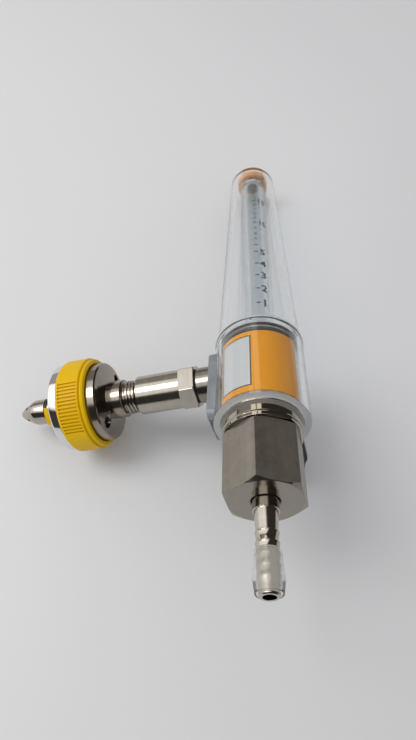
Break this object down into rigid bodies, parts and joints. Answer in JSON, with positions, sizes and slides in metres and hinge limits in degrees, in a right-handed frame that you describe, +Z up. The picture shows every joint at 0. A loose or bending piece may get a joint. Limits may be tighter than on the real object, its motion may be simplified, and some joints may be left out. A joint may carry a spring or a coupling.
{
  "type": "medical air flowmeter",
  "caption": "Clear tapered flow tube on a plated valve body, with a plug-in gas probe behind, a control knob at the side and a barbed hose outlet below.",
  "frame": {"origin": "centre of the sealing land on the probe pin, on the probe's axis", "axes": "+Y along the probe, into the wall socket; +Z up along the flow tube; +X towards the control knob"},
  "size_m": [0.0582, 0.1107, 0.2158],
  "materials": {
    "plated_brass": "satin",
    "bright_chrome": "polished",
    "clear_cover": "clear",
    "clear_tube": "clear",
    "amber_label": "smooth",
    "amber_pad": "smooth",
    "black_rubber": "matt",
    "yellow_plastic": "semi-gloss",
    "black_plastic": "satin",
    "float_black": "gloss",
    "dark_steel": "blackened",
    "spring_steel": "smooth",
    "sintered_bronze": "porous",
    "white_plastic": "smooth",
    "clear_hose": "smooth"
  },
  "bodies": {
    "meter": {"valve_body": "plated_brass", "upper_body_seal": "black_rubber", "lower_body_seal": "black_rubber", "clear_cover": "clear_cover", "label_wrap": "amber_label", "flow_tube": "clear_tube", "tube_base_seal": "black_rubber", "tube_end_pad": "amber_pad", "float_stop": "white_plastic", "float_rest": "white_plastic", "outlet_nut": "plated_brass", "outlet_nipple": "plated_brass", "nipple_washer": "black_rubber", "hose_sleeve": "clear_hose", "inlet_stub": "plated_brass", "inlet_seal": "black_rubber", "coupler_washer": "black_rubber", "inlet_coupler": "plated_brass", "inlet_filter": "sintered_bronze", "probe_body": "plated_brass", "face_screws": "dark_steel", "index_plate": "yellow_plastic", "probe_pin": "plated_brass", "probe_seal": "black_rubber", "collar_clip": "spring_steel", "valve_bonnet": "plated_brass", "bonnet_seal": "black_rubber", "spindle_seal": "black_rubber"},
    "float": {"float_ball": "float_black"},
    "collar": {"grip_ring": "yellow_plastic", "bezel_ring": "bright_chrome"},
    "seat": {"seat_disc": "white_plastic"},
    "knob": {"control_knob": "black_plastic", "valve_spindle": "plated_brass", "knob_screw": "dark_steel"}
  },
  "joints": [
    {"name": "float_slide", "type": "slide", "parent": "meter", "child": "float", "axis": [0, 0, 1], "range_m": [-0.112, 0]},
    {"name": "collar_turn", "type": "hinge", "parent": "meter", "child": "collar", "pos_m": [0, -0.02, 0], "axis": [0, 1, 0], "range_deg": [0, 40]},
    {"name": "valve_lift", "type": "slide", "parent": "meter", "child": "seat", "axis": [1, 0, 0], "range_m": [0, 0.0016]},
    {"name": "knob_turn", "type": "hinge", "parent": "seat", "child": "knob", "pos_m": [0.03, -0.085, -0.0081], "axis": [1, 0, 0], "range_deg": [0, 540]}
  ],
  "couplings": [
    {"joint": "valve_lift", "follows": "knob_turn", "m_per_rad": 0.00015915}
  ]
}
